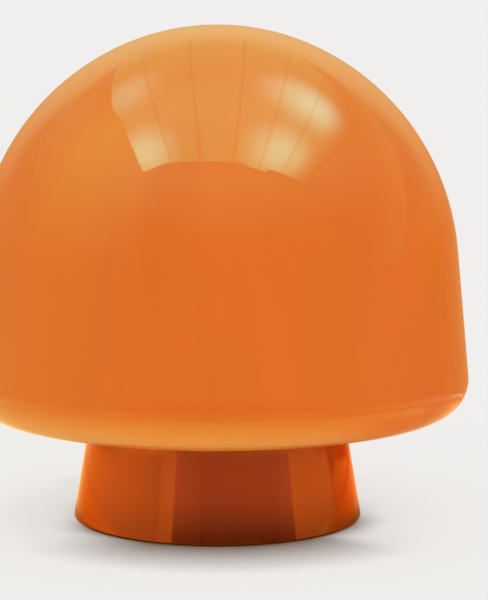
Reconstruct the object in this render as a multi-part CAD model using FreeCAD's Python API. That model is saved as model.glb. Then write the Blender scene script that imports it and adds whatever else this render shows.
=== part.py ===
import FreeCAD
import Part
import math
import os

# Mushroom table lamp: a blown glass dome stands on a tapered spun-steel base and lifts straight off.
# Under the dome a screw lamp holder carries a clear filament bulb.
# Millimetres, +Z up. The origin is the centre of the foot on the table.
# +Y is the back, where the cord enters.

Vector = FreeCAD.Vector

# Glass dome
lamp_height = 293.5
shade_radius = 150.0
crown_radius = 138.7
crown_angle = 25.0
flare_angle = 5.5
edge_radius = 21.3
glass_wall = 3.2
neck_clearance = 1.5

# Spun base
base_radius = 86.75
base_taper = 9.7
base_wall = 1.5
base_bend = 1.5
seat_height = 62.8
spigot_radius = 56.5
spigot_height = 7.0
spigot_bend = 1.0
rim_gap = 0.4
felt_thickness = 1.5
felt_width = 24.0
felt_inset = 1.2
gasket_thickness = 1.0
gasket_margin = 1.0

# Bottom of the base
plate_thickness = 2.0
plate_clearance = 0.4
ballast_radius = 60.0
ballast_bore_radius = 22.0
ballast_height = 20.0
ballast_chamfer = 2.0
pillar_count = 3
pillar_circle_radius = 46.0
pillar_radius = 4.5
pillar_first_angle = 30.0
plate_screw_radius = 2.0
plate_screw_head_radius = 4.0
plate_screw_grip = 10.0
tap_runout = 0.6

# Cord entry at the back
cord_radius = 3.5
cord_clearance = 0.1
grommet_height = 17.0
grommet_neck_radius = 5.6
grommet_flange_radius = 8.4
grommet_flange = 2.4

# Lamp holder and its threaded tube
tube_radius = 5.0
tube_bore_radius = 3.8
nut_across_flats = 14.0
nut_thickness = 4.0
washer_radius = 9.0
washer_thickness = 1.0
tube_tail = 3.0
holder_wall = 2.0
holder_margin = 0.7
cap_height = 26.0
cap_floor = 3.0
cap_rim_height = 6.0
tube_stand = 3.5
core_height = 11.0
core_seat_depth = 4.0
skirt_height = 32.0
skirt_lip = 4.0
flute_count = 24
flute_radius = 1.2
flute_depth = 0.6
shell_wall = 0.5
shell_flange = 2.4
shell_flange_thickness = 0.6
contact_thickness = 0.5
contact_width = 7.0
contact_rise = 3.0
contact_reach = 5.0
contact_foot = 9.0
holder_terminal_offset = 7.0
holder_terminal_width = 5.0
holder_terminal_height = 5.0
holder_screw_radius = 1.4
holder_screw_length = 1.8
holder_screw_head_radius = 2.1
holder_screw_head_height = 1.4

# Wiring
lead_radius = 1.0
lead_gap = 1.2
lead_entry = 7.0
lead_fan_lift = 2.0
lead_arc_share = 0.45

# Terminal block on the ballast
pole_spacing = 8.0
block_length = 20.0
block_floor = 3.0
block_radius_from_axis = 40.0
barrel_radius = 3.6
barrel_height = 7.0
barrel_bore_radius = 1.6
tower_radius = 2.8
tower_height = 12.5
tower_spacing = 10.0
terminal_screw_radius = 1.7
terminal_screw_sink = 0.8
slot_width = 0.6
slot_depth = 0.8
block_screw_radius = 1.5
block_screw_head_radius = 2.6
block_screw_head_height = 1.6
block_screw_grip = 6.0

# Bulb with a screw cap
bulb_radius = 30.0
bulb_neck_length = 1.0
bulb_wall = 0.9
bulb_neck_fillet = 40.0
cap_radius = 13.2
cap_sheet = 0.35
cap_length = 22.0
cap_taper_height = 4.0
insulator_radius = 8.6
insulator_height = 4.2
tip_radius = 4.8
tip_height = 1.8
tip_gap = 0.3
neck_overlap = 6.0
stem_radius = 5.0
stem_top_radius = 2.2
stem_height = 28.0
filament_count = 4
filament_radius = 0.9
filament_length = 34.0
filament_lean = 16.0
filament_first_angle = 45.0
filament_ring_radius = 5.5
hub_radius = 3.4
hub_thickness = 1.4
support_radius = 0.7

# Fits
screw_fit = 0.05
running_fit = 0.1
thread_clearance = 0.3

# Heights and radii that follow from the sizes above
taper = math.tan(math.radians(base_taper))
foot_z = felt_thickness
underside_z = seat_height + gasket_thickness
neck_radius = spigot_radius + neck_clearance
plateau_z = seat_height + spigot_height
plate_top = foot_z + plate_thickness
ballast_top = plate_top + ballast_height
tube_bottom = plateau_z - base_wall - washer_thickness - nut_thickness - tube_tail
tube_top = plateau_z + cap_floor + tube_stand
cap_top = plateau_z + cap_height
core_bottom = cap_top - core_seat_depth
core_top = core_bottom + core_height
skirt_bottom = cap_top - cap_rim_height
skirt_top = skirt_bottom + skirt_height
shell_radius = cap_radius + thread_clearance
core_radius = shell_radius + shell_wall + shell_flange + holder_margin
cap_rim_radius = core_radius + running_fit + holder_wall
skirt_bore_radius = cap_rim_radius + running_fit
holder_radius = skirt_bore_radius + holder_wall
tip_z = core_top + contact_thickness + contact_rise + tip_gap
bulb_cap_bottom = tip_z + tip_height + insulator_height
bulb_cap_top = bulb_cap_bottom + cap_length
pole_z = ballast_top + barrel_height
wire_entry_y = block_radius_from_axis - block_length / 2


def outer_radius(z):
    """Outside radius of the tapered base at height z."""
    return base_radius - taper * (z - rim_gap)


def inner_radius(z):
    """Inside radius of the tapered base at height z."""
    return outer_radius(z) - base_wall / math.cos(math.radians(base_taper))


def rounded_wire(corners):
    """Closed outline in the XZ plane through (radius, height, rounding) corners."""
    places = [Vector(r, 0, z) for r, z, _ in corners]
    turns = []
    for i, here in enumerate(places):
        rounding = corners[i][2]
        back = (places[i - 1] - here).normalize()
        ahead = (places[(i + 1) % len(places)] - here).normalize()
        half = back.getAngle(ahead) / 2
        if rounding == 0:
            turns.append((here, None, here))
            continue
        reach = rounding / math.tan(half)
        inward = (back + ahead).normalize()
        middle = here + inward * (rounding / math.sin(half) - rounding)
        turns.append((here + back * reach, middle, here + ahead * reach))
    edges = []
    for i, (start, middle, stop) in enumerate(turns):
        if middle is not None:
            edges.append(Part.Arc(start, middle, stop).toShape())
        following = turns[(i + 1) % len(turns)][0]
        if (following - stop).Length > 1e-6:
            edges.append(Part.LineSegment(stop, following).toShape())
    return Part.Wire(edges)


def turned(corners):
    """Solid of revolution about Z from a rounded outline."""
    return revolved(rounded_wire(corners))


def revolved(wire):
    """Solid of revolution about Z from a closed wire in the XZ plane."""
    return Part.Face(wire).revolve(Vector(0, 0, 0), Vector(0, 0, 1), 360)


def rod(radius, bottom, top, x=0.0, y=0.0):
    """Upright cylinder between two heights."""
    return Part.makeCylinder(radius, top - bottom, Vector(x, y, bottom))


def arc_about(centre, radius, start, stop):
    """Arc in the XZ plane; the angles in degrees are measured from +Z towards +X."""
    def at(angle):
        a = math.radians(angle)
        return centre + Vector(math.sin(a), 0, math.cos(a)) * radius
    return Part.Arc(at(start), at((start + stop) / 2), at(stop)).toShape()


def line(start, stop):
    """Straight edge."""
    return Part.LineSegment(start, stop).toShape()


def around(shape, count, first):
    """Copies of a shape evenly spaced about the lamp's axis."""
    copies = []
    for i in range(count):
        copy = shape.copy()
        copy.rotate(Vector(0, 0, 0), Vector(0, 0, 1), first + 360.0 * i / count)
        copies.append(copy)
    return copies


def tube_along(points, radius):
    """Wire of round section through points, with each bend as large as its runs allow."""
    edges = []
    start = points[0]
    for before, corner, after in zip(points, points[1:], points[2:]):
        back = (before - corner).normalize()
        ahead = (after - corner).normalize()
        reach = lead_arc_share * min((before - corner).Length, (after - corner).Length)
        half = back.getAngle(ahead) / 2
        bend = reach * math.tan(half)
        inward = (back + ahead).normalize()
        middle = corner + inward * (bend / math.sin(half) - bend)
        edges.append(line(start, corner + back * reach))
        edges.append(Part.Arc(corner + back * reach, middle, corner + ahead * reach).toShape())
        start = corner + ahead * reach
    edges.append(line(start, points[-1]))
    heading = (points[1] - points[0]).normalize()
    section = Part.Wire(Part.makeCircle(radius, points[0], heading))
    return Part.Wire(edges).makePipeShell([section], True, False)


def shade_glass():
    """Blown dome: crown and shoulder arcs, a flared wall, a round lower edge and a flat turned-in lip."""
    flare = math.radians(flare_angle)
    edge_centre = Vector(shade_radius - edge_radius, 0, underside_z + edge_radius)
    crown_centre = Vector(0, 0, lamp_height - crown_radius)
    wall_distance = edge_centre.x * math.cos(flare) + edge_centre.z * math.sin(flare) + edge_radius
    # The shoulder is tangent to the crown and to the flared wall, which sets its radius.
    spare = wall_distance - crown_centre.z * math.sin(flare) - crown_radius
    growth = spare / (1 - math.sin(math.radians(crown_angle + flare_angle)))
    crown_turn = math.radians(crown_angle)
    shoulder_centre = crown_centre - Vector(math.sin(crown_turn), 0, math.cos(crown_turn)) * growth
    wall_turn = 90 - flare_angle

    def skin(depth):
        """Edges of the dome's outline at a depth below the outside, from the apex to the lip."""
        crown = arc_about(crown_centre, crown_radius - depth, 0, crown_angle)
        shoulder = arc_about(shoulder_centre, crown_radius + growth - depth, crown_angle, wall_turn)
        edge = arc_about(edge_centre, edge_radius - depth, wall_turn, 180)
        wall = line(shoulder.Vertexes[-1].Point, edge.Vertexes[0].Point)
        lip = line(edge.Vertexes[-1].Point, Vector(rim_start, 0, underside_z + depth))
        return [crown, shoulder, wall, edge, lip]

    rim_start = neck_radius + glass_wall / 2
    outside = skin(0)
    inside = skin(glass_wall)
    rim = Part.Arc(
        Vector(rim_start, 0, underside_z),
        Vector(neck_radius, 0, underside_z + glass_wall / 2),
        Vector(rim_start, 0, underside_z + glass_wall),
    ).toShape()
    apex = line(Vector(0, 0, lamp_height - glass_wall), Vector(0, 0, lamp_height))
    return revolved(Part.Wire(Part.__sortEdges__(outside + [rim] + inside + [apex])))


def seat_gasket():
    """Soft ring that the glass lip stands on."""
    inside = neck_radius + gasket_margin
    outside = outer_radius(seat_height) - base_bend - base_wall - gasket_margin
    edge = gasket_thickness / 4
    return turned([
        (inside, seat_height, 0),
        (outside, seat_height, 0),
        (outside, underside_z, edge),
        (inside, underside_z, edge),
    ])


def base_frustum(radius_at, allowance, low, high):
    """Solid taper of the base between two heights, grown by an allowance."""
    bottom = radius_at(low) + allowance
    top = radius_at(high) + allowance
    return Part.makeCone(bottom, top, high - low, Vector(0, 0, low))


def grommet_frame():
    """Point on the outside of the base at the cord entry, and the wall's outward normal there."""
    a = math.radians(base_taper)
    return Vector(0, outer_radius(grommet_height), grommet_height), Vector(0, math.cos(a), math.sin(a))


def grommet_neck(allowance):
    """Cylinder through the back wall on the cord entry's axis."""
    place, normal = grommet_frame()
    reach = base_wall + 2 * grommet_flange
    return Part.makeCylinder(grommet_neck_radius + allowance, 2 * reach, place - normal * reach, normal)


def base_shell():
    """Spun tapered drum with a flat seat, a raised spigot that centres the glass, and an open bottom."""
    seat_under = seat_height - base_wall
    plateau_under = plateau_z - base_wall
    hole = tube_radius + running_fit
    inside_spigot = spigot_radius - base_wall
    shell = turned([
        (outer_radius(rim_gap), rim_gap, 0),
        (outer_radius(seat_height), seat_height, base_bend + base_wall),
        (spigot_radius, seat_height, spigot_bend),
        (spigot_radius, plateau_z, spigot_bend + base_wall),
        (hole, plateau_z, 0),
        (hole, plateau_under, 0),
        (inside_spigot, plateau_under, spigot_bend),
        (inside_spigot, seat_under, spigot_bend + base_wall),
        (inner_radius(seat_under), seat_under, base_bend),
        (inner_radius(rim_gap), rim_gap, 0),
    ])
    return shell.cut(grommet_neck(screw_fit))


def cord_grommet():
    """Soft bush in the back wall, with a flange on each side of the sheet and a bore for the cord."""
    place, normal = grommet_frame()
    inner_end = -(base_wall + grommet_flange)
    bore = cord_radius + cord_clearance
    edge = grommet_flange / 3
    bush = turned([
        (bore, inner_end, 0),
        (grommet_flange_radius, inner_end, edge),
        (grommet_flange_radius, grommet_flange, edge),
        (bore, grommet_flange, 0),
    ])
    bush.Placement = FreeCAD.Placement(place, FreeCAD.Rotation(Vector(0, 0, 1), normal))
    low = grommet_height - 2 * grommet_flange_radius
    high = grommet_height + 2 * grommet_flange_radius
    sheet = base_frustum(outer_radius, screw_fit, low, high)
    sheet = sheet.cut(base_frustum(inner_radius, -screw_fit, low, high))
    return bush.cut(sheet.cut(grommet_neck(0)))


def felt_ring():
    """Felt ring under the bottom plate, just inside the rim of the base."""
    outside = inner_radius(foot_z) - felt_inset
    return turned([
        (outside - felt_width, 0, 0),
        (outside, 0, 0),
        (outside, foot_z, 0),
        (outside - felt_width, foot_z, 0),
    ])


def bottom_plate():
    """Steel disc that closes the base, with countersunk holes for its screws."""
    plate = rod(inner_radius(plate_top) - plate_clearance, foot_z, plate_top)
    head = plate_screw_head(screw_fit)
    hole = rod(plate_screw_radius + running_fit, foot_z, plate_top, pillar_circle_radius)
    return plate.cut(Part.Compound(around(head.fuse(hole), pillar_count, pillar_first_angle)))


def plate_screw_head(allowance):
    """Countersunk cone of a plate screw, grown by an allowance."""
    wide = plate_screw_head_radius + allowance
    narrow = plate_screw_radius + allowance
    height = min(wide - narrow, plate_thickness)
    return Part.makeCone(wide, narrow, height, Vector(pillar_circle_radius, 0, foot_z))


def plate_screws():
    """Countersunk screws that clamp the plate and the ballast to the pillars."""
    shank = rod(plate_screw_radius, foot_z, ballast_top + plate_screw_grip, pillar_circle_radius)
    screw = plate_screw_head(0).fuse(shank)
    recess = Part.makeBox(
        plate_screw_head_radius * 2, slot_width, slot_depth,
        Vector(pillar_circle_radius - plate_screw_head_radius, -slot_width / 2, foot_z),
    )
    return Part.Compound(around(screw.cut(recess), pillar_count, pillar_first_angle))


def ballast_ring():
    """Cast weight that rests on the bottom plate."""
    ring = turned([
        (ballast_bore_radius, plate_top, 0),
        (ballast_radius, plate_top, 0),
        (ballast_radius, ballast_top, ballast_chamfer),
        (ballast_bore_radius, ballast_top, ballast_chamfer),
    ])
    hole = rod(plate_screw_radius + running_fit, plate_top, ballast_top, pillar_circle_radius)
    block_hole = rod(
        block_screw_radius + screw_fit, ballast_top - block_screw_grip, ballast_top,
        0, block_radius_from_axis,
    )
    return ring.cut(Part.Compound(around(hole, pillar_count, pillar_first_angle) + [block_hole]))


def support_pillars():
    """Tapped spacers between the underside of the plateau and the ballast."""
    pillar = rod(pillar_radius, ballast_top, plateau_z - base_wall, pillar_circle_radius)
    tapped_top = ballast_top + plate_screw_grip + tap_runout
    tapped = rod(plate_screw_radius + screw_fit, ballast_top, tapped_top, pillar_circle_radius)
    return Part.Compound(around(pillar.cut(tapped), pillar_count, pillar_first_angle))


def threaded_tube():
    """Hollow tube that fixes the lamp holder to the base and carries the leads."""
    return rod(tube_radius, tube_bottom, tube_top).cut(rod(tube_bore_radius, tube_bottom, tube_top))


def tube_washer():
    """Plain washer between the nut and the underside of the plateau."""
    top = plateau_z - base_wall
    low = top - washer_thickness
    return rod(washer_radius, low, top).cut(rod(tube_radius + running_fit, low, top))


def tube_nut():
    """Hexagon nut with chamfered corners."""
    top = plateau_z - base_wall - washer_thickness
    low = top - nut_thickness
    corner = nut_across_flats / math.sqrt(3)
    ring = [Vector(corner * math.cos(math.radians(60 * i)), corner * math.sin(math.radians(60 * i)), low)
            for i in range(7)]
    hexagon = Part.Face(Part.makePolygon(ring)).extrude(Vector(0, 0, nut_thickness))
    chamfer = corner - nut_across_flats / 2
    barrel = turned([
        (0, low, 0),
        (nut_across_flats / 2, low, 0),
        (corner, low + chamfer, 0),
        (corner, top - chamfer, 0),
        (nut_across_flats / 2, top, 0),
        (0, top, 0),
    ])
    return hexagon.common(barrel).cut(rod(tube_radius + screw_fit, low, top))


def fluted(shape, bottom, top):
    """Grip flutes cut along the outside of the lamp holder."""
    cutter = rod(flute_radius, bottom, top, holder_radius + flute_radius - flute_depth)
    return shape.cut(Part.Compound(around(cutter, flute_count, 0)))


def holder_cap():
    """Lower cup of the lamp holder on the tube, with a ledge for the core and a rim for the skirt."""
    bore = tube_radius + screw_fit
    ledge = core_radius - holder_wall
    edge = holder_wall
    return turned([
        (bore, plateau_z, 0),
        (holder_radius, plateau_z, edge),
        (holder_radius, skirt_bottom, 0),
        (cap_rim_radius, skirt_bottom, 0),
        (cap_rim_radius, cap_top, 0),
        (core_radius + running_fit, cap_top, 0),
        (core_radius + running_fit, core_bottom, 0),
        (ledge, core_bottom, 0),
        (ledge, plateau_z + cap_floor, edge),
        (bore, plateau_z + cap_floor, 0),
    ])


def holder_skirt():
    """Upper sleeve of the lamp holder, with flutes for the fingers and a rolled lip round the bulb."""
    lip = shell_radius + shell_wall + running_fit
    skirt = turned([
        (skirt_bore_radius, skirt_bottom, 0),
        (holder_radius + holder_wall / 2, skirt_bottom, holder_wall / 4),
        (holder_radius + holder_wall / 2, skirt_bottom + holder_wall * 2, holder_wall / 4),
        (holder_radius, skirt_bottom + holder_wall * 2, 0),
        (holder_radius, skirt_top, holder_wall),
        (lip, skirt_top, holder_wall / 4),
        (lip, skirt_top - skirt_lip, 0),
        (skirt_bore_radius, skirt_top - skirt_lip, 0),
    ])
    return fluted(skirt, skirt_bottom + holder_wall * 3, skirt_top - holder_wall * 2)


def holder_core():
    """Ceramic block that carries the contacts."""
    return turned([
        (0, core_bottom, 0),
        (core_radius, core_bottom, 0),
        (core_radius, core_top, holder_wall / 2),
        (0, core_top, 0),
    ])


def screw_shell():
    """Brass sleeve that takes the bulb's cap, on a flange that rests on the core."""
    outside = shell_radius + shell_wall
    top = skirt_top - shell_wall
    return turned([
        (shell_radius, core_top, 0),
        (outside + shell_flange, core_top, 0),
        (outside + shell_flange, core_top + shell_flange_thickness, 0),
        (outside, core_top + shell_flange_thickness, 0),
        (outside, top, 0),
        (shell_radius, top, 0),
    ])


def centre_contact():
    """Sprung brass tongue under the bulb's tip."""
    t = contact_thickness
    rise = contact_rise
    outline = [
        (-contact_foot, 0), (-rise, 0), (0, rise), (contact_reach, rise), (contact_reach, rise + t),
        (-t / 2, rise + t), (-rise - t / 2, t), (-contact_foot, t), (-contact_foot, 0),
    ]
    places = [Vector(x, -contact_width / 2, core_top + z) for x, z in outline]
    return Part.Face(Part.makePolygon(places)).extrude(Vector(0, contact_width, 0))


def holder_terminal_faces():
    """Middle of the front face of each terminal under the core."""
    z = core_bottom - holder_terminal_height / 2
    return [Vector(side * holder_terminal_offset, -holder_terminal_width / 2, z) for side in (-1, 1)]


def holder_terminals():
    """Two brass terminal blocks under the core."""
    width = holder_terminal_width
    blocks = []
    for face in holder_terminal_faces():
        corner = face - Vector(width / 2, 0, holder_terminal_height / 2)
        block = Part.makeBox(width, width, holder_terminal_height, corner)
        hole = Part.makeCylinder(holder_screw_radius + screw_fit, width / 2, face, Vector(0, 1, 0))
        blocks.append(block.cut(hole))
    return Part.Compound(blocks)


def holder_terminal_screws():
    """Clamp screws of the two terminals, entering from the front."""
    screws = []
    for face in holder_terminal_faces():
        head = Part.makeCylinder(holder_screw_head_radius, holder_screw_head_height, face, Vector(0, -1, 0))
        shank = Part.makeCylinder(holder_screw_radius, holder_screw_length, face, Vector(0, 1, 0))
        slot = Part.makeBox(
            2 * holder_screw_head_radius, slot_depth, slot_width,
            face - Vector(holder_screw_head_radius, holder_screw_head_height, slot_width / 2),
        )
        screws.append(head.fuse(shank).cut(slot))
    return Part.Compound(screws)


def lead(side):
    """Insulated lead from the terminal block, up through the tube, to a terminal of the holder."""
    across = side * (lead_radius + lead_gap / 2)
    pole = side * pole_spacing / 2
    fan_low = tube_top + lead_fan_lift
    terminal_low = core_bottom - holder_terminal_height
    fan_high = (fan_low + terminal_low) / 2 + lead_fan_lift
    return tube_along([
        Vector(pole, wire_entry_y + lead_entry, pole_z),
        Vector(pole, wire_entry_y - lead_entry, pole_z),
        Vector(across, 0, pole_z),
        Vector(across, 0, fan_low),
        Vector(side * holder_terminal_offset, 0, fan_high),
        Vector(side * holder_terminal_offset, 0, terminal_low),
    ], lead_radius)


def live_lead():
    """Lead on the right-hand pole."""
    return lead(1)


def neutral_lead():
    """Lead on the left-hand pole."""
    return lead(-1)


def terminal_places():
    """Foot points of the four screw towers."""
    return [(side * pole_spacing / 2, block_radius_from_axis + end * tower_spacing / 2)
            for side in (-1, 1) for end in (-1, 1)]


def terminal_block():
    """Two-pole moulded terminal block: a floor, two barrels and four screw towers."""
    half = block_length / 2
    corner = Vector(-pole_spacing, block_radius_from_axis - half, ballast_top)
    block = Part.makeBox(2 * pole_spacing, block_length, block_floor, corner)
    for side in (-1, 1):
        middle = Vector(side * pole_spacing / 2, wire_entry_y, pole_z)
        block = block.fuse(Part.makeCylinder(barrel_radius, block_length, middle, Vector(0, 1, 0)))
        web = Part.makeBox(
            barrel_radius, block_length, barrel_height,
            Vector(middle.x - barrel_radius / 2, wire_entry_y, ballast_top),
        )
        block = block.fuse(web)
    for x, y in terminal_places():
        block = block.fuse(rod(tower_radius, pole_z, ballast_top + tower_height, x, y))
    for x, y in terminal_places():
        block = block.cut(rod(terminal_screw_radius + screw_fit, pole_z, ballast_top + tower_height, x, y))
    for side in (-1, 1):
        entry = Vector(side * pole_spacing / 2, wire_entry_y, pole_z)
        block = block.cut(Part.makeCylinder(barrel_bore_radius, block_length, entry, Vector(0, 1, 0)))
    top = ballast_top + tower_height
    hole = rod(block_screw_radius + running_fit, ballast_top, top, 0, block_radius_from_axis)
    head_radius = block_screw_head_radius + running_fit
    head = rod(head_radius, ballast_top + block_floor, top, 0, block_radius_from_axis)
    return block.cut(hole).cut(head).removeSplitter()


def slotted(screw, top, radius, x, y):
    """Screw with a straight slot across its head."""
    corner = Vector(x - radius, y - slot_width / 2, top - slot_depth)
    return screw.cut(Part.makeBox(2 * radius, slot_width, slot_depth, corner))


def terminal_screws():
    """Four clamp screws sunk in the towers of the terminal block."""
    top = ballast_top + tower_height - terminal_screw_sink
    screws = []
    for x, y in terminal_places():
        screw = rod(terminal_screw_radius, pole_z + lead_radius, top, x, y)
        screws.append(slotted(screw, top, terminal_screw_radius, x, y))
    return Part.Compound(screws)


def block_screw():
    """Screw that fixes the terminal block to the ballast."""
    seat = ballast_top + block_floor
    top = seat + block_screw_head_height
    y = block_radius_from_axis
    screw = rod(block_screw_radius, ballast_top - block_screw_grip + tap_runout, seat, 0, y)
    screw = screw.fuse(rod(block_screw_head_radius, seat, top, 0, y))
    return slotted(screw, top, block_screw_head_radius, 0, y)


def bulb_tip():
    """Solder dome at the foot of the bulb."""
    return turned([
        (0, tip_z, 0),
        (tip_radius, tip_z, tip_height / 2),
        (tip_radius, tip_z + tip_height, 0),
        (0, tip_z + tip_height, 0),
    ])


def bulb_insulator():
    """Black glass cone between the tip and the screw cap."""
    low = tip_z + tip_height
    return turned([
        (0, low, 0),
        (tip_radius, low, 0),
        (insulator_radius, low + insulator_height, 0),
        (insulator_radius, low + insulator_height + cap_sheet * 2, 0),
        (0, low + insulator_height + cap_sheet * 2, 0),
    ])


def bulb_cap():
    """Plated screw cap: a thin cup that narrows to the insulator."""
    inside = cap_radius - cap_sheet
    hole = insulator_radius + running_fit
    low = bulb_cap_bottom
    waist = low + cap_taper_height
    return turned([
        (hole, low, 0),
        (hole + cap_sheet, low, 0),
        (cap_radius, waist, cap_sheet * 2),
        (cap_radius, bulb_cap_top, 0),
        (inside, bulb_cap_top, 0),
        (inside, waist + cap_sheet, cap_sheet),
        (hole, low + cap_sheet, 0),
    ])


def bulb_glass():
    """Clear pear-shaped envelope whose neck is held in the cap."""
    neck = cap_radius - cap_sheet - running_fit
    fillet_x = neck + bulb_neck_fillet
    fillet_z = bulb_cap_top + bulb_neck_length
    centre_z = fillet_z + math.sqrt((bulb_radius + bulb_neck_fillet) ** 2 - fillet_x ** 2)
    lean = math.degrees(math.atan2(fillet_x, fillet_z - centre_z))
    globe = Vector(0, 0, centre_z)
    flare = Vector(fillet_x, 0, fillet_z)
    low = bulb_cap_top - neck_overlap

    def skin(depth):
        """Edges of the envelope at a depth below the outside, from the top to the neck."""
        ball = arc_about(globe, bulb_radius - depth, 0, lean)
        sweep = arc_about(flare, bulb_neck_fillet + depth, lean + 180, 270)
        return [ball, sweep, line(sweep.Vertexes[-1].Point, Vector(neck - depth, 0, low))]

    top = globe.z + bulb_radius
    foot = line(Vector(neck, 0, low), Vector(neck - bulb_wall, 0, low))
    crown = line(Vector(0, 0, top - bulb_wall), Vector(0, 0, top))
    return revolved(Part.Wire(Part.__sortEdges__(skin(0) + [foot] + skin(bulb_wall) + [crown])))


def stem_top_z():
    """Height of the top of the bulb's glass stem."""
    return bulb_cap_top + stem_height


def bulb_stem():
    """Flared glass mount that seals the neck and carries the filaments."""
    neck = cap_radius - cap_sheet - running_fit - bulb_wall - screw_fit
    low = bulb_cap_top - neck_overlap
    top = stem_top_z()
    return turned([
        (0, low, 0),
        (neck, low, 0),
        (neck, low + bulb_wall * 2, 0),
        (stem_radius, low + neck_overlap * 2, stem_radius),
        (stem_top_radius, top, stem_top_radius / 2),
        (0, top, 0),
    ])


def filament_dip():
    """How far the rim of a leaning filament's end lies below or above its centre."""
    return filament_radius * math.sin(math.radians(filament_lean))


def filament_ends():
    """Centres of the ends of the first filament, which leans outwards."""
    low = Vector(filament_ring_radius, 0, stem_top_z() + hub_thickness + filament_dip())
    lean = math.radians(filament_lean)
    return low, low + Vector(math.sin(lean), 0, math.cos(lean)) * filament_length


def bulb_filaments():
    """Coated sticks that glow, spreading upwards round the axis."""
    low, high = filament_ends()
    stick = Part.makeCylinder(filament_radius, filament_length, low, high - low)
    return Part.Compound(around(stick, filament_count, filament_first_angle))


def bulb_supports():
    """Metal spider on the stem, a mast and an upper spider that holds the tops of the filaments."""
    high = filament_ends()[1]
    foot = stem_top_z()
    arm_z = high.z + filament_dip() + support_radius
    hub = rod(filament_ring_radius + filament_radius, foot, foot + hub_thickness)
    mast = rod(support_radius, foot, arm_z)
    crown = rod(hub_radius, arm_z - hub_thickness, arm_z + hub_thickness)
    arm = Part.makeCylinder(support_radius, high.x, Vector(0, 0, arm_z), Vector(1, 0, 0))
    return hub.fuse([mast, crown] + around(arm, filament_count, filament_first_angle)).removeSplitter()


PIECES = {
    "shade_glass": shade_glass,
    "seat_gasket": seat_gasket,
    "base_shell": base_shell,
    "cord_grommet": cord_grommet,
    "felt_ring": felt_ring,
    "bottom_plate": bottom_plate,
    "plate_screws": plate_screws,
    "ballast_ring": ballast_ring,
    "support_pillars": support_pillars,
    "threaded_tube": threaded_tube,
    "tube_washer": tube_washer,
    "tube_nut": tube_nut,
    "holder_cap": holder_cap,
    "holder_skirt": holder_skirt,
    "holder_core": holder_core,
    "screw_shell": screw_shell,
    "centre_contact": centre_contact,
    "holder_terminals": holder_terminals,
    "holder_terminal_screws": holder_terminal_screws,
    "live_lead": live_lead,
    "neutral_lead": neutral_lead,
    "terminal_block": terminal_block,
    "terminal_screws": terminal_screws,
    "block_screw": block_screw,
    "bulb_tip": bulb_tip,
    "bulb_insulator": bulb_insulator,
    "bulb_cap": bulb_cap,
    "bulb_glass": bulb_glass,
    "bulb_stem": bulb_stem,
    "bulb_filaments": bulb_filaments,
    "bulb_supports": bulb_supports,
}

os.makedirs("parts", exist_ok=True)
for name, make in PIECES.items():
    shape = make()
    print(f"{name}: {len(shape.Solids)} solids, {shape.Volume / 1000:.2f} cm3, valid {shape.isValid()}")
    shape.exportStep(f"parts/{name}.step")
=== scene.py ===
import math

import bmesh
import bpy
from mathutils import Matrix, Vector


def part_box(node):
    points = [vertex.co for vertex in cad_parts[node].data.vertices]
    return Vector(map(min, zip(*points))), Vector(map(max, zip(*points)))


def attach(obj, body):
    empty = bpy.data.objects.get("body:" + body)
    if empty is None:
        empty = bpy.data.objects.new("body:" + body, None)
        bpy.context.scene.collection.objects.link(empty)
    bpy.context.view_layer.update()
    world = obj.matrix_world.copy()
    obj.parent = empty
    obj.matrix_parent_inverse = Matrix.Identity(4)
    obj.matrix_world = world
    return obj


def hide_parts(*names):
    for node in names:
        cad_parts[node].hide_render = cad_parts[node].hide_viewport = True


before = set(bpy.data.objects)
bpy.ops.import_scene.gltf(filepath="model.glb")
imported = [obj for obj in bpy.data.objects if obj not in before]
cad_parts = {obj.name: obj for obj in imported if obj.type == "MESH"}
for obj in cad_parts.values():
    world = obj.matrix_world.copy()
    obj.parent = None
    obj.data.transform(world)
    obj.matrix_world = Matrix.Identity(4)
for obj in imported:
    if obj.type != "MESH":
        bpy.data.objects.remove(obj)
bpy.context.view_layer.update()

# Mushroom table lamp in its studio. Metres, +Z up, front towards -Y.

# Sizes of the pieces that are turned again here with smooth walls. Places come from the CAD parts in
# model.glb.
SEGMENTS = 192
ARC_STEP = 3.0
ROUND_SEGMENTS = 4
SHARP_ANGLE = 30.0
MERGE_DISTANCE = 1e-7

CROWN_RADIUS = 0.1387
CROWN_ANGLE = 25.0
FLARE_ANGLE = 5.5
EDGE_RADIUS = 0.0213
GLASS_WALL = 0.0032
NECK_RADIUS = 0.058

BASE_TAPER = 9.7
BASE_WALL = 0.0015
BASE_BEND = 0.0015
SPIGOT_RADIUS = 0.0565
SPIGOT_BEND = 0.001
TUBE_HOLE_RADIUS = 0.0051
FOOT_ROUND = 0.0004
RIM_ROUND = 0.001

BUSH_HEIGHT = 0.017
BUSH_BORE = 0.0036
BUSH_NECK = 0.0056
BUSH_FLANGE_RADIUS = 0.0084
BUSH_FLANGE = 0.0024
BUSH_SINK = 0.0005
BUSH_HOLE_HEIGHT = 0.005
BUSH_HOLE_COLUMNS = 2
BUSH_SEGMENTS = 64

SEAL_INSIDE = 0.059
SEAL_ROUND = 0.0004
FELT_WIDTH = 0.024
FELT_ROUND = 0.0006

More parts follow.
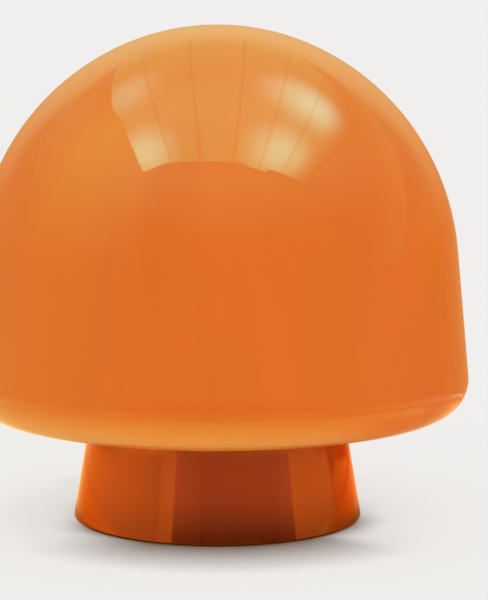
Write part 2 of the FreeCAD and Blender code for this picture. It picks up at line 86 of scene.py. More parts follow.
HOLDER_ROUND = 0.002
HOLDER_EDGE = 0.0005
TUBE_BORE = 0.00505
CUP_FLOOR = 0.003
CUP_RIM = 0.0192
CUP_POCKET = 0.0172
CUP_LEDGE = 0.0151
CUP_GROOVE = (0.007, 0.0025, 0.0005)
SLEEVE_RADIUS = 0.0213
SLEEVE_BORE = 0.0193
SLEEVE_COLLAR = 0.004
SLEEVE_LIP = 0.0141
SLEEVE_LIP_DEPTH = 0.004
FLUTES = 24
FLUTE_SEGMENTS = 16
FLUTE_RADIUS = 0.0012
FLUTE_DEPTH = 0.0006
FLUTE_LOW = 0.006
FLUTE_HIGH = 0.004
FLUTE_RUNOUT = 0.0016
FLUTE_ROWS = 5

THREAD_PITCH = 0.003629
THREAD_DEPTH = 0.00095
THREAD_STEPS = 64
THREAD_ARC_STEP = 9.0
THREAD_RUNOUT = 0.0008
THREAD_MERGE = 1e-6
CUT_MERGE = 1e-5
SHELL_SHEET = 0.0005
SHELL_BORE = 0.0135
SHELL_FOOT = 0.0026
CAP_SHEET = 0.00035
CAP_HOLE = 0.0087
CAP_CONE = 0.0034
CAP_COLLAR = 0.0062

GLOBE_RADIUS = 0.03
BULB_NECK = 0.01275
BULB_FLARE = 0.04
BULB_WALL = 0.0009
STEM_RADIUS = 0.005
STEM_TOP_RADIUS = 0.0022
STICKS = 4
STICK_RADIUS = 0.0009
STICK_LENGTH = 0.034
STICK_LEAN = 16.0
STICK_TURN = 45.0
STICK_RING = 0.0055
STICK_SEGMENTS = 32
PIN_RADIUS = 0.0004
PIN_LENGTH = 0.0014
TIP_EDGE = 0.0004
CONE_HEIGHT = 0.0042

# Camera, from the photograph's perspective
IMAGE_WIDTH = 488
IMAGE_HEIGHT = 600
LAMP_AXIS_PIXEL = 217.4
FOCAL_PIXELS = 2018.0
CAMERA_DISTANCE = 1.2
CAMERA_HEIGHT = 0.2765
CAMERA_PITCH = 6.963
SENSOR = 36.0


# Outlines and turning

class Outline:
    """A turner's outline in the XZ half plane, drawn one vertex after another."""

    def __init__(self, radius, height):
        self.bm = bmesh.new()
        self.start = self.bm.verts.new((radius, 0, height))
        self.end = self.start
        self.rounded = []

    def line(self, radius, height, rounding=0.0):
        """Runs straight to a point, whose corner may be rounded."""
        self.end = bmesh.ops.extrude_vert_indiv(self.bm, verts=[self.end])["verts"][0]
        self.end.co = (radius, 0, height)
        if rounding:
            self.rounded.append((self.end, rounding))
        return self

    def arc(self, centre, degrees, step=ARC_STEP):
        """Turns round a centre; positive degrees go from +Z towards +X."""
        steps = max(2, math.ceil(abs(degrees) / step))
        swept = bmesh.ops.spin(
            self.bm, geom=[self.end], cent=(centre[0], 0, centre[1]), axis=(0, 1, 0),
            angle=math.radians(degrees), steps=steps,
        )
        self.end = next(v for v in swept["geom_last"] if isinstance(v, bmesh.types.BMVert))
        return self

    def turn(self, segments=SEGMENTS, closed=True):
        """Rounds the marked corners and turns the outline about Z; an open one runs from axis to axis."""
        if closed:
            self.bm.edges.new((self.end, self.start))
        else:
            self.start.co.x = self.end.co.x = 0
        for vert, rounding in self.rounded:
            bmesh.ops.bevel(
                self.bm, geom=[vert], offset=rounding, offset_type="OFFSET", affect="VERTICES",
                segments=ROUND_SEGMENTS, profile=0.5, material=-1,
            )
        bmesh.ops.spin(
            self.bm, geom=self.bm.verts[:] + self.bm.edges[:], cent=(0, 0, 0), axis=(0, 0, 1),
            angle=2 * math.pi, steps=segments, use_merge=True,
        )
        tidy(self.bm)
        return self.bm


def tidy(bm):
    """Merges doubles and points the faces outwards."""
    bmesh.ops.remove_doubles(bm, verts=bm.verts, dist=MERGE_DISTANCE)
    bmesh.ops.recalc_face_normals(bm, faces=bm.faces)


def polar(centre, radius, degrees):
    """Point at an angle from +Z towards +X round a centre in the XZ plane."""
    a = math.radians(degrees)
    return centre[0] + radius * math.sin(a), centre[1] + radius * math.cos(a)


def whole(bm):
    """Every vertex, edge and face."""
    return bm.verts[:] + bm.edges[:] + bm.faces[:]


def new_object(name, bm, material):
    """Object at the origin with a finished mesh and one material."""
    mesh = bpy.data.meshes.new(name)
    bm.to_mesh(mesh)
    bm.free()
    mesh.materials.append(material)
    made = bpy.data.objects.new(name, mesh)
    bpy.context.scene.collection.objects.link(made)
    return made


def piece(name, bm, body, node, finish):
    """Smooth piece that rides on a body in place of a CAD node, in the finish of a material slot."""
    for face in bm.faces:
        face.smooth = True
    made = new_object(name, bm, FINISHES[finish])
    made.data.set_sharp_from_angle(angle=math.radians(SHARP_ANGLE))
    made.modifiers.new("flat_walls", "WEIGHTED_NORMAL").keep_sharp = True
    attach(made, body)
    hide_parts(node)


# Node helpers

def add(tree, kind, inputs=None, **settings):
    """Adds a node, sets its options, and sets or links its inputs."""
    made = tree.nodes.new(kind)
    for key, value in settings.items():
        setattr(made, key, value)
    for key, value in (inputs or {}).items():
        if isinstance(value, bpy.types.NodeSocket):
            tree.links.new(value, made.inputs[key])
        else:
            made.inputs[key].default_value = value
    return made


def calc(tree, operation, a, b=0.0, clamp=False):
    """Math node; returns its output socket."""
    return add(tree, "ShaderNodeMath", {0: a, 1: b}, operation=operation, use_clamp=clamp).outputs[0]


def times(tree, a, b):
    """Product of two values."""
    return calc(tree, "MULTIPLY", a, b)


def vector(tree, operation, a, b=(0, 0, 0)):
    """Vector Math node; returns its output sockets."""
    return add(tree, "ShaderNodeVectorMath", {0: a, 1: b}, operation=operation).outputs


def remap(tree, value, low, high, to_low=0.0, to_high=1.0, smooth=True):
    """Map Range node; returns its output socket."""
    inputs = {"Value": value, "From Min": low, "From Max": high, "To Min": to_low, "To Max": to_high}
    kind = "SMOOTHSTEP" if smooth else "LINEAR"
    return add(tree, "ShaderNodeMapRange", inputs, interpolation_type=kind).outputs["Result"]


def mix(tree, factor, first, second, kind="MIX"):
    """Mix node, whose colour sockets are inputs 6 and 7 and output 2; returns that output."""
    inputs = {"Factor": factor, 6: first, 7: second}
    return add(tree, "ShaderNodeMix", inputs, data_type="RGBA", blend_type=kind).outputs[2]


def blend(tree, value, span, first, second, smooth=True):
    """Colour that goes from one to another over a span of a value."""
    return mix(tree, remap(tree, value, *span, smooth=smooth), first, second)


def noise(tree, place, scale, detail=2.0, roughness=0.5, distortion=0.0):
    """Noise texture; returns the socket of its value."""
    inputs = {"Vector": place, "Scale": scale, "Detail": detail, "Roughness": roughness,
              "Distortion": distortion}
    return add(tree, "ShaderNodeTexNoise", inputs).outputs["Fac"]


def emission(tree, colour, strength=1.0):
    """Emission shader; returns its output socket."""
    return add(tree, "ShaderNodeEmission", {"Color": colour, "Strength": strength}).outputs[0]


def mix_shader(tree, factor, first, second):
    """Mix of two shaders; returns its output socket."""
    return add(tree, "ShaderNodeMixShader", {0: factor, 1: first, 2: second}).outputs[0]


def by_ray(tree, to_eye, to_gloss, to_matt):
    """Shader for straight rays, also through glass, one for mirrored rays and one for all others."""
    path = add(tree, "ShaderNodeLightPath").outputs
    straight = calc(tree, "MAXIMUM", path["Is Camera Ray"], path["Is Transmission Ray"])
    return mix_shader(tree, straight, mix_shader(tree, path["Is Glossy Ray"], to_matt, to_gloss), to_eye)


def rgb(red, green, blue):
    """Linear colour with full alpha."""
    return red, green, blue, 1.0


def object_axes(tree):
    """Object coordinates, whole and as separate axes."""
    place = add(tree, "ShaderNodeTexCoord").outputs["Object"]
    return place, add(tree, "ShaderNodeSeparateXYZ", {"Vector": place}).outputs


def object_place(tree, scale):
    """Object coordinates, stretched."""
    place = add(tree, "ShaderNodeTexCoord").outputs["Object"]
    return add(tree, "ShaderNodeMapping", {"Vector": place, "Scale": scale}).outputs["Vector"]


def towards(tree, place, degrees):
    """How far a place lies in a level direction, in degrees from the front towards +X."""
    a = math.radians(degrees)
    return vector(tree, "DOT_PRODUCT", place, (math.sin(a), -math.cos(a), 0))["Value"]


def degrees_round(tree, axes):
    """Degrees round Z, from the front towards +X."""
    turn = calc(tree, "ARCTAN2", axes["X"], times(tree, axes["Y"], -1.0))
    return times(tree, turn, math.degrees(1))


# Shared effects

VALUE = "NodeSocketFloat"
PLACE = "NodeSocketVector"
COLOUR = "NodeSocketColor"
SURFACE_INPUTS = [("Vector", PLACE, (0, 0, 0)), ("Light", COLOUR, rgb(0.8, 0.8, 0.8)),
                  ("Dark", COLOUR, rgb(0.2, 0.2, 0.2)), ("Roughness", VALUE, 0.5), ("Spread", VALUE, 0.1)]
SURFACE_OUTPUTS = [("Color", COLOUR), ("Roughness", VALUE), ("Height", VALUE)]


def new_group(name, inputs, outputs):
    """Empty shader node group with named sockets."""
    tree = bpy.data.node_groups.new(name, "ShaderNodeTree")
    for label, kind, value in inputs:
        tree.interface.new_socket(label, in_out="INPUT", socket_type=kind).default_value = value
    for label, kind in outputs:
        tree.interface.new_socket(label, in_out="OUTPUT", socket_type=kind)
    return tree, tree.nodes.new("NodeGroupInput").outputs, tree.nodes.new("NodeGroupOutput").inputs


def polish_group():
    """Hand-polished gloss: smears in the roughness and a faint long wave in the surface."""
    tree, given, out = new_group(
        "polish",
        [("Vector", PLACE, (0, 0, 0)), ("Roughness", VALUE, 0.05), ("Smear", VALUE, 0.03)],
        [("Roughness", VALUE), ("Height", VALUE)],
    )
    smears = noise(tree, given["Vector"], 1.0, detail=3.0, distortion=0.6)
    fine = noise(tree, given["Vector"], 14.0)
    patchy = remap(tree, calc(tree, "ADD", smears, times(tree, fine, 0.25)), 0.45, 0.85)
    smeared = times(tree, patchy, given["Smear"])
    tree.links.new(calc(tree, "ADD", given["Roughness"], smeared), out["Roughness"])
    tree.links.new(smears, out["Height"])
    return tree


def put_out(tree, given, out, shade, wear, height):
    """Puts out a surface group's colour, its roughness, which swings with the wear, and its height."""
    tree.links.new(mix(tree, shade, given["Dark"], given["Light"]), out["Color"])
    swing = times(tree, calc(tree, "SUBTRACT", wear, 0.5), given["Spread"])
    tree.links.new(calc(tree, "ADD", given["Roughness"], swing), out["Roughness"])
    tree.links.new(height, out["Height"])


def grain_group():
    """Speckled grain in colour and height, for felt, cast, moulded and coated surfaces."""
    tree, given, out = new_group("grain", SURFACE_INPUTS, SURFACE_OUTPUTS)
    clouds = noise(tree, given["Vector"], 0.12, detail=4.0)
    specks = noise(tree, given["Vector"], 1.0, detail=6.0, roughness=0.65)
    both = calc(tree, "ADD", times(tree, clouds, 0.4), times(tree, specks, 0.6))
    shade = remap(tree, both, 0.32, 0.68)
    put_out(tree, given, out, shade, shade, specks)
    return tree


def brushed_group():
    """Fine drawn lines, for rolled, turned and plated metal."""
    tree, given, out = new_group("brushed", SURFACE_INPUTS, SURFACE_OUTPUTS)
    lines = noise(tree, given["Vector"], 1.0, detail=5.0)
    tarnish = noise(tree, given["Vector"], 0.11, detail=3.0)
    both = calc(tree, "ADD", times(tree, lines, 0.5), times(tree, tarnish, 0.5))
    put_out(tree, given, out, remap(tree, both, 0.36, 0.64), lines, lines)
    return tree


POLISH = polish_group()
GRAIN = grain_group()
BRUSHED = brushed_group()


def new_material(name, **sockets):
    """Material with a Principled shader; sockets are given by name, with _ for a space."""
    material = bpy.data.materials.new(name)
    material.use_nodes = True
    tree = material.node_tree
    shader = tree.nodes["Principled BSDF"]
    for key, value in sockets.items():
        shader.inputs[key.replace("_", " ")].default_value = value
    return material, tree, shader


def effect(tree, group, inputs):
    """Places a node group in a material; returns its outputs."""
    return add(tree, "ShaderNodeGroup", inputs, node_tree=group).outputs


def emboss(tree, shader, height, distance, strength):
    """Feeds a height into the shader's normal through a Bump node."""
    bump = add(tree, "ShaderNodeBump", {"Height": height, "Distance": distance, "Strength": strength})
    tree.links.new(bump.outputs["Normal"], shader.inputs["Normal"])


def polish(tree, shader, scale, roughness, smear):
    """Gives the shader polished gloss; returns the group's outputs."""
    place = object_place(tree, (scale, scale, scale))
    outputs = effect(tree, POLISH, {"Vector": place, "Roughness": roughness, "Smear": smear})
    tree.links.new(outputs["Roughness"], shader.inputs["Roughness"])
    return outputs


def surfaced(name, group, strength, light, dark, scales, roughness, spread, depth, **sockets):
    """Material whose colour, gloss and surface come from a node group, scaled across and along Z."""
    material, tree, shader = new_material(name, **sockets)
    across, along = scales
    inputs = {"Vector": object_place(tree, (across, across, along)), "Light": rgb(*light), "Dark": rgb(*dark),
              "Roughness": roughness, "Spread": spread}
    outputs = effect(tree, group, inputs)
    tree.links.new(outputs["Color"], shader.inputs["Base Color"])
    tree.links.new(outputs["Roughness"], shader.inputs["Roughness"])
    emboss(tree, shader, outputs["Height"], depth, strength)
    return material


# Finishes, one for each of the record's material slots

OPAL_GLOSS = rgb(0.12, 1.0, 0.4)
OPAL_COLOURS = (rgb(0.82, 0.142, 0.008), rgb(0.86, 0.152, 0.01))
# Painted light where the glass turns under: its colour on the lit front left, then on the shaded right
OPAL_PAINTED_LIGHT_EDGE = rgb(1.0, 0.31, 0.044)
OPAL_PAINTED_SHADE_EDGE = rgb(1.0, 0.17, 0.012)
# Painted light where the glass turns under, standing in for light thrown up from the floor: its heights as
# shares of the edge's radius, the direction of its palest, most lit side in degrees from the front towards
# +X, and the span over which it pales, as shares of the dome's radius
PAINTED_EDGE_LIGHT_HEIGHTS = (1.15, 0.42)
PAINTED_EDGE_LIGHT_AIM = -60.0
PAINTED_EDGE_LIGHT_SPAN = (-0.5, 0.5)
LACQUER_GLOSS = rgb(1.0, 0.66, 0.49)
LACQUER_COLOURS = (rgb(0.57, 0.083, 0.013), rgb(0.61, 0.09, 0.015))
PHOSPHOR_COLOURS = (rgb(0.9, 0.6, 0.08), rgb(0.72, 0.4, 0.03))
CHIP_WAVES = 4200.0


def opal_glass():
    """Blown orange opal glass with faint swirls, and painted light: paler where it turns under, most on the
    lit front left.
    """
    material, tree, shader = new_material("opal_glass", IOR=1.52, Specular_Tint=OPAL_GLOSS)
    swirl = noise(tree, object_place(tree, (1, 1, 0.35)), 9.0, detail=3.0, distortion=1.4)
    colour = mix(tree, remap(tree, swirl, 0.35, 0.7), *OPAL_COLOURS)
    place, axes = object_axes(tree)
    low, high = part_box("shade_glass")
    # Painted light: the turned-under edge is paler, palest towards the front left, where the light falls
    turned = remap(tree, axes["Z"], *(low[2] + EDGE_RADIUS * share for share in PAINTED_EDGE_LIGHT_HEIGHTS), smooth=False)
    painted_light_side = remap(tree, towards(tree, place, PAINTED_EDGE_LIGHT_AIM), *(high[0] * share for share in PAINTED_EDGE_LIGHT_SPAN))
    edge = mix(tree, painted_light_side, OPAL_PAINTED_SHADE_EDGE, OPAL_PAINTED_LIGHT_EDGE)
    tree.links.new(mix(tree, turned, colour, edge), shader.inputs["Base Color"])
    gloss = polish(tree, shader, 14.0, 0.012, 0.03)
    emboss(tree, shader, gloss["Height"], 0.0006, 0.06)
    return material


def base_lacquer():
    """Orange lacquer over spun steel, whose fine turning lines draw reflections out up and down."""
    material, tree, shader = new_material(
        "base_lacquer", Metallic=1.0, Specular_Tint=LACQUER_GLOSS, Anisotropic=0.8, Anisotropic_Rotation=0.25,
    )
    cloud = noise(tree, object_place(tree, (1, 1, 0.2)), 16.0)
    tree.links.new(mix(tree, cloud, *LACQUER_COLOURS), shader.inputs["Base Color"])
    polish(tree, shader, 30.0, 0.06, 0.03)
    around = add(tree, "ShaderNodeTangent", direction_type="RADIAL", axis="Z")
    tree.links.new(around.outputs["Tangent"], shader.inputs["Tangent"])
    return material


def clear_glass():
    """Thin clear bulb glass with faint smears."""
    tint = rgb(0.97, 0.98, 0.98)
    material, tree, shader = new_material("bulb_clear", Base_Color=tint, Transmission_Weight=1.0, IOR=1.45)
    polish(tree, shader, 60.0, 0.0, 0.04)
    return material


def phosphor():
    """Yellow coated filament with its row of chips faintly showing."""
    material, tree, shader = new_material("filament_coating", Roughness=0.45)
    height = object_axes(tree)[1]["Z"]
    chips = remap(tree, calc(tree, "SINE", times(tree, height, CHIP_WAVES)), -0.2, 0.8)
    tree.links.new(mix(tree, chips, *PHOSPHOR_COLOURS), shader.inputs["Base Color"])
    emboss(tree, shader, chips, 0.0001, 0.4)
    return material


GRAIN_STRENGTH = 0.5
LINE_STRENGTH = 0.3
# Both tables: light and dark colour, scales across and along Z, roughness, its spread, and depth in metres
GRAINED = {
    "silicone": ((0.75, 0.73, 0.69), (0.66, 0.64, 0.6), (900, 900), 0.5, 0.12, 0.00003),
    "grommet_rubber": ((0.035, 0.034, 0.033), (0.018, 0.017, 0.016), (900, 900), 0.55, 0.15, 0.0002),
    "felt": ((0.05, 0.045, 0.042), (0.012, 0.011, 0.01), (1400, 1400), 0.95, 0.08, 0.0008),
    "plate_coating": ((0.06, 0.058, 0.056), (0.03, 0.029, 0.028), (1600, 1600), 0.45, 0.2, 0.0003),
    "cast_iron": ((0.16, 0.16, 0.165), (0.07, 0.07, 0.072), (700, 700), 0.65, 0.25, 0.0006),
    "holder_moulding": ((0.79, 0.76, 0.7), (0.775, 0.745, 0.685), (900, 900), 0.28, 0.06, 0.000006),
    "porcelain": ((0.87, 0.86, 0.82), (0.8, 0.79, 0.74), (300, 300), 0.15, 0.08, 0.00003),
    "block_nylon": ((0.82, 0.81, 0.77), (0.74, 0.73, 0.69), (800, 800), 0.5, 0.15, 0.00003),
    "live_insulation": ((0.22, 0.09, 0.035), (0.15, 0.06, 0.022), (900, 900), 0.45, 0.1, 0.00002),
    "neutral_insulation": ((0.035, 0.13, 0.48), (0.025, 0.09, 0.36), (900, 900), 0.45, 0.1, 0.00002),
    "black_glass": ((0.025, 0.022, 0.025), (0.012, 0.011, 0.012), (500, 500), 0.12, 0.1, 0.00004),
}
GRAINED_SOCKETS = {
    "felt": {"Sheen_Weight": 0.4, "Sheen_Roughness": 0.5},
    "cast_iron": {"Metallic": 0.6},
}
DRAWN = {
    "solder": ((0.6, 0.6, 0.61), (0.42, 0.42, 0.43), (700, 700), 0.38, 0.2, 0.0001),
    "screw_steel": ((0.68, 0.68, 0.66), (0.5, 0.5, 0.49), (300, 1400), 0.3, 0.15, 0.0001),
    "contact_brass": ((0.78, 0.56, 0.24), (0.58, 0.38, 0.13), (250, 1200), 0.24, 0.15, 0.0001),
    "bulb_plating": ((0.78, 0.77, 0.74), (0.66, 0.65, 0.62), (150, 1600), 0.17, 0.12, 0.0001),
}

FINISHES = {
    "opal_glass": opal_glass(),
    "base_lacquer": base_lacquer(),
    "bulb_clear": clear_glass(),
    "filament_coating": phosphor(),
}
for slot_name, values in GRAINED.items():
    sockets = GRAINED_SOCKETS.get(slot_name, {})
    FINISHES[slot_name] = surfaced(slot_name, GRAIN, GRAIN_STRENGTH, *values, **sockets)
for slot_name, values in DRAWN.items():
    FINISHES[slot_name] = surfaced(slot_name, BRUSHED, LINE_STRENGTH, *values, Metallic=1.0)


# Glass dome

def glass_dome():
    """Dome of one even wall: crown, shoulder, flared side, round lower edge, flat lip and round rim."""
    low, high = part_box("shade_glass")
    top, under, radius = high[2], low[2], high[0]
    flare = math.radians(FLARE_ANGLE)
    edge = (radius - EDGE_RADIUS, under + EDGE_RADIUS)
    crown = (0.0, top - CROWN_RADIUS)
    side = edge[0] * math.cos(flare) + edge[1] * math.sin(flare) + EDGE_RADIUS
    growth = side - crown[1] * math.sin(flare) - CROWN_RADIUS
    growth /= 1 - math.sin(math.radians(CROWN_ANGLE + FLARE_ANGLE))
    shoulder = polar(crown, -growth, CROWN_ANGLE)
    side_angle = 90 - FLARE_ANGLE
    rim = NECK_RADIUS + GLASS_WALL / 2
    outline = Outline(0, top)
    outline.arc(crown, CROWN_ANGLE).arc(shoulder, side_angle - CROWN_ANGLE)
    outline.line(*polar(edge, EDGE_RADIUS, side_angle)).arc(edge, 180 - side_angle)
    outline.line(rim, under).arc((rim, under + GLASS_WALL / 2), 180).line(edge[0], under + GLASS_WALL)
    outline.arc(edge, side_angle - 180)
    outline.line(*polar(shoulder, CROWN_RADIUS + growth - GLASS_WALL, side_angle))
    outline.arc(shoulder, CROWN_ANGLE - side_angle).arc(crown, -CROWN_ANGLE)
    piece("glass_dome", outline.turn(closed=False), "shade", "shade_glass", "opal_glass")


# Base

def drum_radius(z):
    """Outer radius of the drum at a height."""
    low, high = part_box("base_shell")
    return high[0] - math.tan(math.radians(BASE_TAPER)) * (z - low[2])


def drum_bore(z):
    """Inner radius of the drum at a height."""
    return drum_radius(z) - BASE_WALL / math.cos(math.radians(BASE_TAPER))


def drum():
    """Spun drum with rounded bends, a seat and spigot for the glass, and a hole for the cord entry."""
    low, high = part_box("base_shell")
    foot, plateau = low[2], high[2]
    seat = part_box("seat_gasket")[0][2]
    hole_rows = (BUSH_HEIGHT - BUSH_HOLE_HEIGHT, BUSH_HEIGHT + BUSH_HOLE_HEIGHT)
    seat_under = seat - BASE_WALL
    plateau_under = plateau - BASE_WALL
    inside = SPIGOT_RADIUS - BASE_WALL
    outline = Outline(drum_radius(foot), foot)
    outline.rounded.append((outline.start, RIM_ROUND))
    for z in hole_rows:
        outline.line(drum_radius(z), z)
    outline.line(drum_radius(seat), seat, BASE_BEND + BASE_WALL)
    outline.line(SPIGOT_RADIUS, seat, SPIGOT_BEND)
    outline.line(SPIGOT_RADIUS, plateau, SPIGOT_BEND + BASE_WALL)
    outline.line(TUBE_HOLE_RADIUS, plateau).line(TUBE_HOLE_RADIUS, plateau_under)
    outline.line(inside, plateau_under, SPIGOT_BEND)
    outline.line(inside, seat_under, SPIGOT_BEND + BASE_WALL)
    outline.line(drum_bore(seat_under), seat_under, BASE_BEND)
    for z in reversed(hole_rows):
        outline.line(drum_bore(z), z)
    outline.line(drum_bore(foot), foot, FOOT_ROUND)
    bm = outline.turn()
    half_width = 2 * math.pi * drum_radius(BUSH_HEIGHT) / SEGMENTS * BUSH_HOLE_COLUMNS
    gone = [f for f in bm.faces if within_entry(f.calc_center_median(), half_width)]
    bmesh.ops.delete(bm, geom=gone, context="FACES")
    bmesh.ops.bridge_loops(bm, edges=[e for e in bm.edges if e.is_boundary])
    bmesh.ops.recalc_face_normals(bm, faces=bm.faces)
    piece("drum", bm, "base", "base_shell", "base_lacquer")


def within_entry(place, half_width):
    """True for the middle of a wall face behind the cord entry."""
    beside = abs(place.x) < half_width
    level = abs(place.z - BUSH_HEIGHT) < BUSH_HOLE_HEIGHT
    return beside and level and place.y > 0


def cord_bush():
    """Soft bush in the back wall."""
    outline = Outline(BUSH_BORE, -BASE_WALL - BUSH_FLANGE)
    outline.line(BUSH_FLANGE_RADIUS, -BASE_WALL - BUSH_FLANGE, BUSH_FLANGE / 3)
    outline.line(BUSH_FLANGE_RADIUS, -BASE_WALL - BUSH_SINK)
    outline.line(BUSH_NECK, -BASE_WALL).line(BUSH_NECK, 0)
    outline.line(BUSH_FLANGE_RADIUS, -BUSH_SINK)
    outline.line(BUSH_FLANGE_RADIUS, BUSH_FLANGE, BUSH_FLANGE / 2.5)
    outline.line(BUSH_BORE, BUSH_FLANGE, BUSH_FLANGE / 4)
    bm = outline.turn(BUSH_SEGMENTS)
    tilt = Matrix.Rotation(math.radians(BASE_TAPER - 90), 4, "X")
    place = Matrix.Translation((0, drum_radius(BUSH_HEIGHT), BUSH_HEIGHT))
    bmesh.ops.transform(bm, matrix=place @ tilt, verts=bm.verts)
    piece("cord_bush", bm, "base", "cord_grommet", "grommet_rubber")


# Soft rings

def soft_rings():
    """Silicone ring under the glass lip and felt ring under the base, both with pressed round edges."""
    low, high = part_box("seat_gasket")
    seal = Outline(SEAL_INSIDE, low[2]).line(high[0], low[2], SEAL_ROUND / 2)
    seal.line(high[0], high[2], SEAL_ROUND).line(SEAL_INSIDE, high[2], SEAL_ROUND)
    piece("dome_seal", seal.turn(), "base", "seat_gasket", "silicone")
    low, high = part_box("felt_ring")
    inside = high[0] - FELT_WIDTH
    felt = Outline(inside, low[2]).line(high[0], low[2], FELT_ROUND)
    felt.line(high[0], high[2], FELT_ROUND / 2).line(inside, high[2], FELT_ROUND / 2)
    felt.rounded.append((felt.start, FELT_ROUND))
    piece("felt_foot", felt.turn(), "base", "felt_ring", "felt")


# Lamp holder

def holder_cup():
    """Lower cup of the holder: round foot, moulded groove, rim for the sleeve and ledge for the core."""
    low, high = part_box("holder_cap")
    radius, foot, top = high[0], low[2], high[2]
    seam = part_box("holder_skirt")[0][2]
    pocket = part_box("holder_core")[0][2]
    groove, width, depth = CUP_GROOVE
    outline = Outline(TUBE_BORE, foot).line(radius, foot, HOLDER_ROUND)
    outline.line(radius, foot + groove, HOLDER_EDGE / 2).line(radius - depth, foot + groove + depth)
    outline.line(radius - depth, foot + groove + width - depth)
    outline.line(radius, foot + groove + width, HOLDER_EDGE / 2)
    outline.line(radius, seam).line(CUP_RIM, seam).line(CUP_RIM, top, HOLDER_EDGE)
    outline.line(CUP_POCKET, top, HOLDER_EDGE).line(CUP_POCKET, pocket).line(CUP_LEDGE, pocket)
    outline.line(CUP_LEDGE, foot + CUP_FLOOR, HOLDER_ROUND).line(TUBE_BORE, foot + CUP_FLOOR)
    piece("holder_cup", outline.turn(), "base", "holder_cap", "holder_moulding")


def holder_sleeve():
    """Upper sleeve of the holder: a collar, flutes for the fingers and a lip round the bulb."""
    low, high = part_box("holder_skirt")
    collar, foot, top = high[0], low[2], high[2]
    flute_low = foot + FLUTE_LOW
    flute_high = top - FLUTE_HIGH
    runout = [FLUTE_RUNOUT * i / FLUTE_ROWS for i in range(FLUTE_ROWS + 1)]
    rows = [flute_low + off for off in runout] + [flute_high - off for off in reversed(runout)]
    outline = Outline(SLEEVE_BORE, foot).line(collar, foot, HOLDER_EDGE)
    outline.line(collar, foot + SLEEVE_COLLAR, HOLDER_EDGE).line(SLEEVE_RADIUS, foot + SLEEVE_COLLAR)
    for z in rows:
        outline.line(SLEEVE_RADIUS, z)
    outline.line(SLEEVE_RADIUS, top, HOLDER_ROUND).line(SLEEVE_LIP, top, HOLDER_EDGE)
    outline.line(SLEEVE_LIP, top - SLEEVE_LIP_DEPTH).line(SLEEVE_BORE, top - SLEEVE_LIP_DEPTH)
    bm = outline.turn(FLUTES * FLUTE_SEGMENTS)
    for vert in bm.verts:
        on_wall = abs(vert.co.xy.length - SLEEVE_RADIUS) < HOLDER_EDGE / 10
        if on_wall and flute_low < vert.co.z < flute_high:
            end = min(vert.co.z - flute_low, flute_high - vert.co.z, FLUTE_RUNOUT) / FLUTE_RUNOUT
            depth = flute_depth(vert.co.x, vert.co.y) * math.sqrt(1 - (1 - end) ** 2)
            vert.co.xy *= 1 - depth / SLEEVE_RADIUS
    bmesh.ops.recalc_face_normals(bm, faces=bm.faces)
    piece("holder_sleeve", bm, "base", "holder_skirt", "holder_moulding")


def flute_depth(x, y):
    """Depth of the nearest flute's round groove at a place on the sleeve."""
    spacing = 2 * math.pi / FLUTES
    turn = math.atan2(y, x) / spacing
    off = (turn - round(turn)) * spacing * SLEEVE_RADIUS
    return max(0.0, math.sqrt(max(0.0, FLUTE_RADIUS ** 2 - off ** 2)) - FLUTE_RADIUS + FLUTE_DEPTH)


# Screw thread

def helix(root, low, high):
    """Rolled thread between two heights: a wave one pitch long, drawn up a screw line and cut level."""
    wave = (THREAD_DEPTH ** 2 + (THREAD_PITCH / 2) ** 2) / (4 * THREAD_DEPTH)
    swing = math.degrees(math.asin(THREAD_PITCH / (4 * wave)))
    first = math.floor(low / THREAD_PITCH) - 1
    last = math.ceil(high / THREAD_PITCH)
    start = first * THREAD_PITCH
    crest = root + THREAD_DEPTH
    outline = Outline(root, start).arc((root + wave, start), swing, THREAD_ARC_STEP)
    outline.arc((crest - wave, start + THREAD_PITCH / 2), -2 * swing, THREAD_ARC_STEP)
    outline.arc((root + wave, start + THREAD_PITCH), swing, THREAD_ARC_STEP)
    bm = outline.bm
    bmesh.ops.spin(
        bm, geom=bm.verts[:] + bm.edges[:], cent=(0, 0, 0), axis=(0, 0, 1), angle=2 * math.pi,
        dvec=(0, 0, THREAD_PITCH / THREAD_STEPS), steps=THREAD_STEPS,
    )
    one_turn = whole(bm)
    for turn in range(1, last - first):
        copied = bmesh.ops.duplicate(bm, geom=one_turn)["geom"]
        corners = [part for part in copied if isinstance(part, bmesh.types.BMVert)]
        bmesh.ops.translate(bm, vec=(0, 0, turn * THREAD_PITCH), verts=corners)
    bmesh.ops.remove_doubles(bm, verts=bm.verts, dist=THREAD_MERGE)
    for height, side in ((low, -1), (high, 1)):
        bmesh.ops.bisect_plane(
            bm, geom=whole(bm), plane_co=(0, 0, height), plane_no=(0, 0, side), clear_outer=True,
        )
    bmesh.ops.remove_doubles(bm, verts=bm.verts, dist=CUT_MERGE)
    return bm


def cut_loop(bm, height):
    """Open edges of a level cut."""
    edges = [e for e in bm.edges if e.is_boundary]
    return [e for e in edges if all(abs(v.co.z - height) < CUT_MERGE for v in e.verts)]


def run_out(bm, edges, rings):
    """Draws an open loop out onto circles, each given by radius and height."""
    for radius, height in rings:
        drawn = bmesh.ops.extrude_edge_only(bm, edges=edges)["geom"]
        for vert in [part for part in drawn if isinstance(part, bmesh.types.BMVert)]:
            vert.co.xy = vert.co.xy.normalized() * radius
            vert.co.z = height
        edges = [part for part in drawn if isinstance(part, bmesh.types.BMEdge)]


